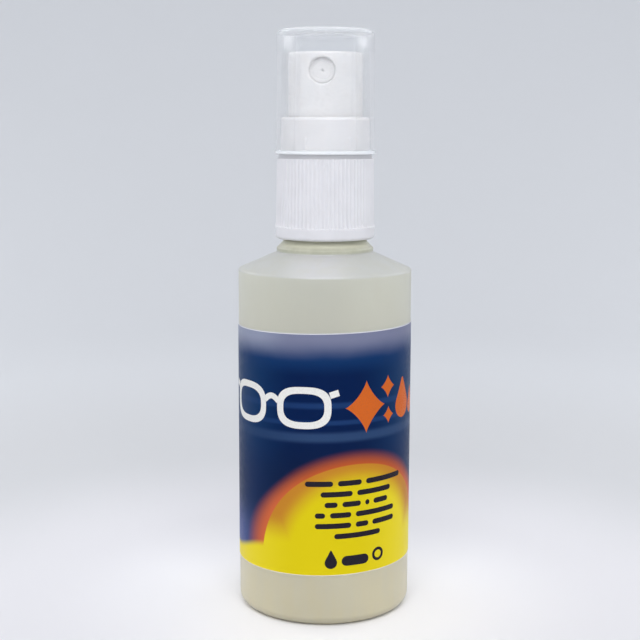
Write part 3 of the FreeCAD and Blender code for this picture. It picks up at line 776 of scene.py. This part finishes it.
RIBS = 72
FACES_PER_RIB = 10
RIB_FOOT = 73.45
RIB_DEPTH = 0.13
RIB_BEAD = 0.12                 # how far the bead at a rib's foot stands out past the rib
RIB_ROOT_LOW = 9.2              # the skirt's radius between the ribs
RIB_ROOT_HIGH = 9.05
SKIRT_R = 8.9                   # what lies further out than this is skirt
COLLAR_BORE = 8.25
COLLAR_THREAD_R = 7.35
COLLAR_THREAD_FOOT = 75.3125
DECK_R = 8.85
DECK_FLOOR = 86.02
DECK_HOLE = 5.6
BOSS_R = 8.31
BOSS_BORE = 7.4
SNAPS = 6
SNAP_FOOT = 87.3
SNAP_TOP = 90.2
SNAP_DEPTH = 0.12
SNAP_TURN = math.radians(39)    # where one snap rib is, round from the front


def ease(value, low, high):
    """0 below low, 1 above high, smooth between."""
    t = min(max((value - low) / (high - low), 0.0), 1.0)
    return t * t * (3 - 2 * t)


def rib_relief(angle, z):
    """Fine ribs, with a bead at each one's foot."""
    wave = 0.5 + 0.5 * math.cos(RIBS * angle)
    bead = RIB_BEAD * ease(-z, -RIB_FOOT - 0.6, -RIB_FOOT - 0.3)
    return (RIB_DEPTH + bead) * ease(z, RIB_FOOT - 0.05, RIB_FOOT + 0.15) * wave ** 1.3


def snap_relief(angle, z):
    """Upright snap ribs that widen at both ends."""
    step = 2 * math.pi / SNAPS
    off = abs((angle - SNAP_TURN + step / 2) % step - step / 2) * BOSS_R
    flare_low = 0.45 * ease(-z, -SNAP_FOOT - 0.9, -SNAP_FOOT)
    flare_high = 0.14 * ease(z, SNAP_TOP - 1.1, SNAP_TOP - 0.5)
    half = 0.2 + flare_low + flare_high
    return SNAP_DEPTH * ease(-off, -half - 0.08, -half + 0.1) * ease(-z, -SNAP_TOP - 0.1, -SNAP_TOP + 0.2)


def closure_relief(angle, r, z):
    """How far the closure stands out from its turned shape."""
    if RIB_FOOT - 0.3 < z < RIB_TOP + 0.02 and r > SKIRT_R:
        return rib_relief(angle, z)
    if DECK + 0.3 < z < SNAP_TOP + 0.3 and abs(r - BOSS_R) < 0.02:
        return snap_relief(angle, z)
    return 0


def make_closure():
    corners = [
        (COLLAR_BORE, COLLAR_FOOT, 0.15), (COLLAR_R, COLLAR_FOOT, 0.6), (COLLAR_R, RIB_FOOT, 0.08),
        (RIB_ROOT_LOW, RIB_FOOT + 0.15, 0.05), (RIB_ROOT_HIGH, RIB_TOP, 0),
        (DECK_R, RIB_TOP + 0.02, 0), (DECK_R, DECK, 0.08), (BOSS_R, DECK, 0.12),
        (BOSS_R, BOSS_TOP, 0.6), (BOSS_BORE, BOSS_TOP, 0.25), (BOSS_BORE, DECK, 0.2),
        (DECK_HOLE, DECK, 0.15), (DECK_HOLE, DECK_FLOOR, 0.15), (COLLAR_BORE, DECK_FLOOR, 0.3),
    ]
    ridge = thread(root=COLLAR_BORE + 0.15, crest=COLLAR_THREAD_R, foot=COLLAR_THREAD_FOOT, turns=1.4,
                   root_width=1.3, crest_width=0.6)
    turned("closure", corners, "closure", WHITE, segments=RIBS * FACES_PER_RIB,
           relief=closure_relief, extra=ridge, longest=0.25)


# ---------------------------------------------------------------- overcap, actuator and nozzle

NUB_R = 0.6                     # the moulding nub on the overcap's top
NUB_RISE = 0.3
MOUTH_R = 2.4                   # the recess in the button's side
SEAT_R = 2.3                    # the bore behind it, which holds the nozzle insert
SEAT_BACK = 3.4                 # distances from the axis, towards the front
INSERT_FACE = 6.0
INSERT_R = 2.28
INSERT_DEPTH = 2.5
FORWARD = Matrix.Translation((0, 0, NOZZLE_Z * MM)) @ Matrix.Rotation(math.pi / 2, 4, "X")


def make_overcap():
    plate = CAP_TOP - NUB_RISE
    ceiling = plate - 1.1
    corners = [
        (CAP_R - 1.0, CAP_FOOT, 0.15), (CAP_R, CAP_FOOT, 0.2), (CAP_R, CAP_FOOT + 0.6, 0.2),
        (CAP_R - 0.17, CAP_FOOT + 0.9, 0.2), (CAP_R - 0.35, plate, 1.2), (NUB_R, plate, 0.1),
        (NUB_R, CAP_TOP, 0.12), (0, CAP_TOP, 0), (0, ceiling, 0), (CAP_R - 1.35, ceiling, 0.6),
    ]
    turned("overcap", corners, "overcap", CLEAR)


def apply_boolean(piece, other, operation):
    """Cut or join another mesh object, which is then removed."""
    modifier = piece.modifiers.new("cut", "BOOLEAN")
    modifier.object = other
    modifier.operation = operation
    modifier.solver = "EXACT"
    bpy.context.view_layer.update()
    graph = bpy.context.evaluated_depsgraph_get()
    mesh = bpy.data.meshes.new_from_object(piece.evaluated_get(graph))
    piece.modifiers.clear()
    piece.data = mesh
    bpy.data.objects.remove(other)


def small_turned(name, corners, forward=False):
    """A small turned mesh; forward lays its axis along -Y at the nozzle's height."""
    mesh = mesh_of(name, *lathe(rounded(corners), SMALL_ROUND))
    if forward:
        mesh.transform(FORWARD)
    return mesh


def tool(corners, forward=False):
    """A small turned object to cut or join with."""
    mesh = small_turned("tool", corners, forward)
    bm = bmesh.new()
    bm.from_mesh(mesh)
    bmesh.ops.recalc_face_normals(bm, faces=bm.faces)
    bm.to_mesh(mesh)
    bm.free()
    return put_in_scene("tool", mesh)


def make_actuator():
    inner = BUTTON_R - 0.9
    dish = BUTTON_TOP - 0.45
    roof, socket_foot, socket_top = 104.2, 96.0, 99.56
    socket_r, socket_bore, channel = 3.2, 1.96, 0.9
    corners = [
        (inner, BUTTON_FOOT, 0.15), (inner, roof, 0.4), (socket_r, roof, 0.3),
        (socket_r, socket_foot, 0.1), (socket_bore, socket_foot, 0.2), (socket_bore, socket_top, 0),
        (channel, socket_top, 0), (channel, NOZZLE_Z, 0), (0, NOZZLE_Z, 0), (0, dish, 0),
        (5.2, dish, 0.6), (6.1, BUTTON_TOP, 0.4), (BUTTON_R, BUTTON_TOP, 0.45),
        (BUTTON_R, BUTTON_FOOT, 0.15),
    ]
    arm_back, arm_r, beyond = 2.6, 2.9, 9.0
    arm = [(0, arm_back, 0), (arm_r, arm_back, 0), (arm_r, INSERT_FACE, 0), (0, INSERT_FACE, 0)]
    bore = [(0, SEAT_BACK, 0), (SEAT_R, SEAT_BACK, 0), (SEAT_R, INSERT_FACE, 0),
            (MOUTH_R, INSERT_FACE, 0), (MOUTH_R, beyond, 0), (0, beyond, 0)]
    shell = tool(corners)
    apply_boolean(shell, tool(arm, forward=True), "UNION")
    apply_boolean(shell, tool(bore, forward=True), "DIFFERENCE")
    mesh = shell.data
    bpy.data.objects.remove(shell)
    bevel_mouth(mesh)
    make_piece(mesh, "actuator", "actuator", ["actuator"], BUTTON_WHITE)


def bevel_mouth(mesh):
    """Soften the edge where the nozzle's recess meets the button's side."""
    bm = bmesh.new()
    bm.from_mesh(mesh)

    def on_rim(v):
        x, y, z = v.co / MM
        on_recess = abs(math.hypot(x, z - NOZZLE_Z) - MOUTH_R) < 0.01
        return on_recess and abs(math.hypot(x, y) - BUTTON_R) < 0.01

    rim = [e for e in bm.edges if all(on_rim(v) for v in e.verts)]
    bmesh.ops.bevel(bm, geom=rim, offset=0.28 * MM, segments=4, profile=0.5, affect="EDGES")
    bm.to_mesh(mesh)
    bm.free()


def make_nozzle_insert():
    """A cup with a groove and a funnel in its face, and a swirl chamber behind the orifice."""
    back, face = INSERT_FACE - INSERT_DEPTH, INSERT_FACE
    bore, groove, chamber, orifice = 1.62, 1.65, 0.6, 0.13
    corners = [
        (bore, back, 0), (INSERT_R, back, 0.05), (INSERT_R, face, 0.08), (groove + 0.12, face, 0.02),
        (groove, face - 0.07, 0.03), (groove - 0.12, face, 0.02), (0.45, face, 0.06),
        (orifice, face - 0.1, 0.03), (orifice, back + 1.85, 0), (chamber, back + 1.85, 0),
        (chamber, back + 1.6, 0), (bore, back + 1.6, 0),
    ]
    mesh = small_turned("nozzle_insert", corners, forward=True)
    make_piece(mesh, "nozzle_insert", "actuator", ["nozzle_insert"], BUTTON_WHITE)


# ---------------------------------------------------------------- stage

VIEW_AZIMUTH = math.radians(5.5)
VIEW_DISTANCE = 242.94          # from the part's axis
VIEW_HEIGHT = 91.75
VIEW_PITCH = 0.1488             # downwards, in radians like the next two
VIEW_YAW = -0.0037
VIEW_ROLL = 0.003
LENS = 71.8
SENSOR = 36

FLAT_R = 330.0                  # the floor is flat out to here
BEND_R = 240.0
BEND_STEPS = 16
WALL_TOP = 900.0

WORLD_STRENGTH = 0.16
CEILING_POWER = 3.53
SIDE_POWER = 0.45
FRONT_POWER = 1.035
SIDE_TURN = math.radians(118)   # how far round from the camera the side panels stand


def make_camera():
    data = bpy.data.cameras.new("camera")
    data.lens = LENS
    data.sensor_width = SENSOR
    data.clip_start = 0.01
    camera = put_in_scene("camera", data)
    turn = (Matrix.Rotation(VIEW_AZIMUTH - VIEW_YAW, 4, "Z")
            @ Matrix.Rotation(math.pi / 2 - VIEW_PITCH, 4, "X") @ Matrix.Rotation(VIEW_ROLL, 4, "Z"))
    spot = Vector(at(VIEW_DISTANCE, VIEW_AZIMUTH, VIEW_HEIGHT)) * MM
    camera.matrix_world = Matrix.Translation(spot) @ turn
    bpy.context.scene.camera = camera


def panel(name, spot, aim, size, power, colour=(1, 1, 1)):
    """A soft light panel at a spot, facing a point, that the camera doesn't see."""
    data = bpy.data.lights.new(name, "AREA")
    data.shape = "RECTANGLE"
    data.size, data.size_y = size[0] * MM, size[1] * MM
    data.energy = power
    data.color = colour
    lamp = put_in_scene(name, data)
    facing = (Vector(aim) - Vector(spot)).to_track_quat("-Z", "Y")
    lamp.matrix_world = Matrix.Translation(Vector(spot) * MM) @ facing.to_matrix().to_4x4()
    lamp.visible_camera = False


def floor_material():
    """Matt white, with painted light round the bottle's foot and painted shade in a wider ring further out.
    """
    tree = Tree("floor")
    x, y, _ = tree.place()
    out = tree.length(x, y)
    # Painted light near the foot, painted shade from about 55 to 130 mm out, a little lighter beyond.
    colour = tree.mix(tree.span(out, 18, 60), srgb(251, 250, 252), srgb(229, 228, 231))
    colour = tree.mix(tree.span(out, 55, 120), colour, srgb(211, 212, 214))
    colour = tree.mix(tree.span(out, 130, 260), colour, srgb(218, 220, 223))
    tree.drive("Base Color", colour)
    tree.set(Roughness=0.6)
    return tree.material


def make_floor():
    """A pale floor that curves up into a wall all round, like the inside of a light tent."""
    outline = [(0.01, 0)] + [(FLAT_R * k / 12, 0) for k in range(1, 13)]
    for k in range(1, BEND_STEPS + 1):
        a = math.pi / 2 * k / BEND_STEPS
        outline.append((FLAT_R + BEND_R * math.sin(a), BEND_R - BEND_R * math.cos(a)))
    outline.append((FLAT_R + BEND_R, WALL_TOP))
    verts = [at(r, 2 * math.pi * k / SMALL_ROUND, z) for r, z in outline for k in range(SMALL_ROUND)]
    faces = []
    for i in range(len(outline) - 1):
        ring, above = i * SMALL_ROUND, (i + 1) * SMALL_ROUND
        for k in range(SMALL_ROUND):
            n = (k + 1) % SMALL_ROUND
            faces.append((ring + k, ring + n, above + n, above + k))
    mesh = mesh_of("floor", verts, faces)
    mesh.shade_smooth()
    mesh.materials.append(floor_material())
    put_in_scene("floor", mesh)


def make_lights():
    """Soft panels: the tent's lit ceiling, both sides, and high in front."""
    world = bpy.data.worlds.new("studio")
    bpy.context.scene.world = world
    world.use_nodes = True
    background = world.node_tree.nodes["Background"]
    background.inputs["Color"].default_value = (*srgb(240, 240, 244), 1)
    background.inputs["Strength"].default_value = WORLD_STRENGTH
    middle = (0, 0, 55)
    panel("ceiling", spot=(0, 0, WALL_TOP - 10), aim=(0, 0, 0), size=(1140, 1140),
          power=CEILING_POWER, colour=srgb(247, 248, 252))
    for side in (-1, 1):
        panel(f"side_{side}", spot=at(430, VIEW_AZIMUTH + side * SIDE_TURN, 260), aim=middle,
              size=(380, 240), power=SIDE_POWER)
    panel("front", spot=at(330, VIEW_AZIMUTH, 370), aim=middle, size=(360, 240), power=FRONT_POWER)


def dress_inner_parts():
    """CAD nodes that keep their own shape get their materials."""
    for node, material in (("pump_housing", NATURAL), ("pump_retainer", WHITE), ("dip_tube", TUBE),
                           ("poppet", NATURAL), ("piston", NATURAL), ("stem", NATURAL),
                           ("inlet_ball", STEEL), ("return_spring", WIRE), ("neck_gasket", FOAM)):
        shade(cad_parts[node].data, material)


make_camera()
make_floor()
make_lights()
make_bottle()
make_fluid()
make_label()
make_spectacles_mark()
make_sparkle_mark()
make_small_print()
make_closure()
make_overcap()
make_actuator()
make_nozzle_insert()
dress_inner_parts()
bpy.context.scene.view_settings.view_transform = "Standard"
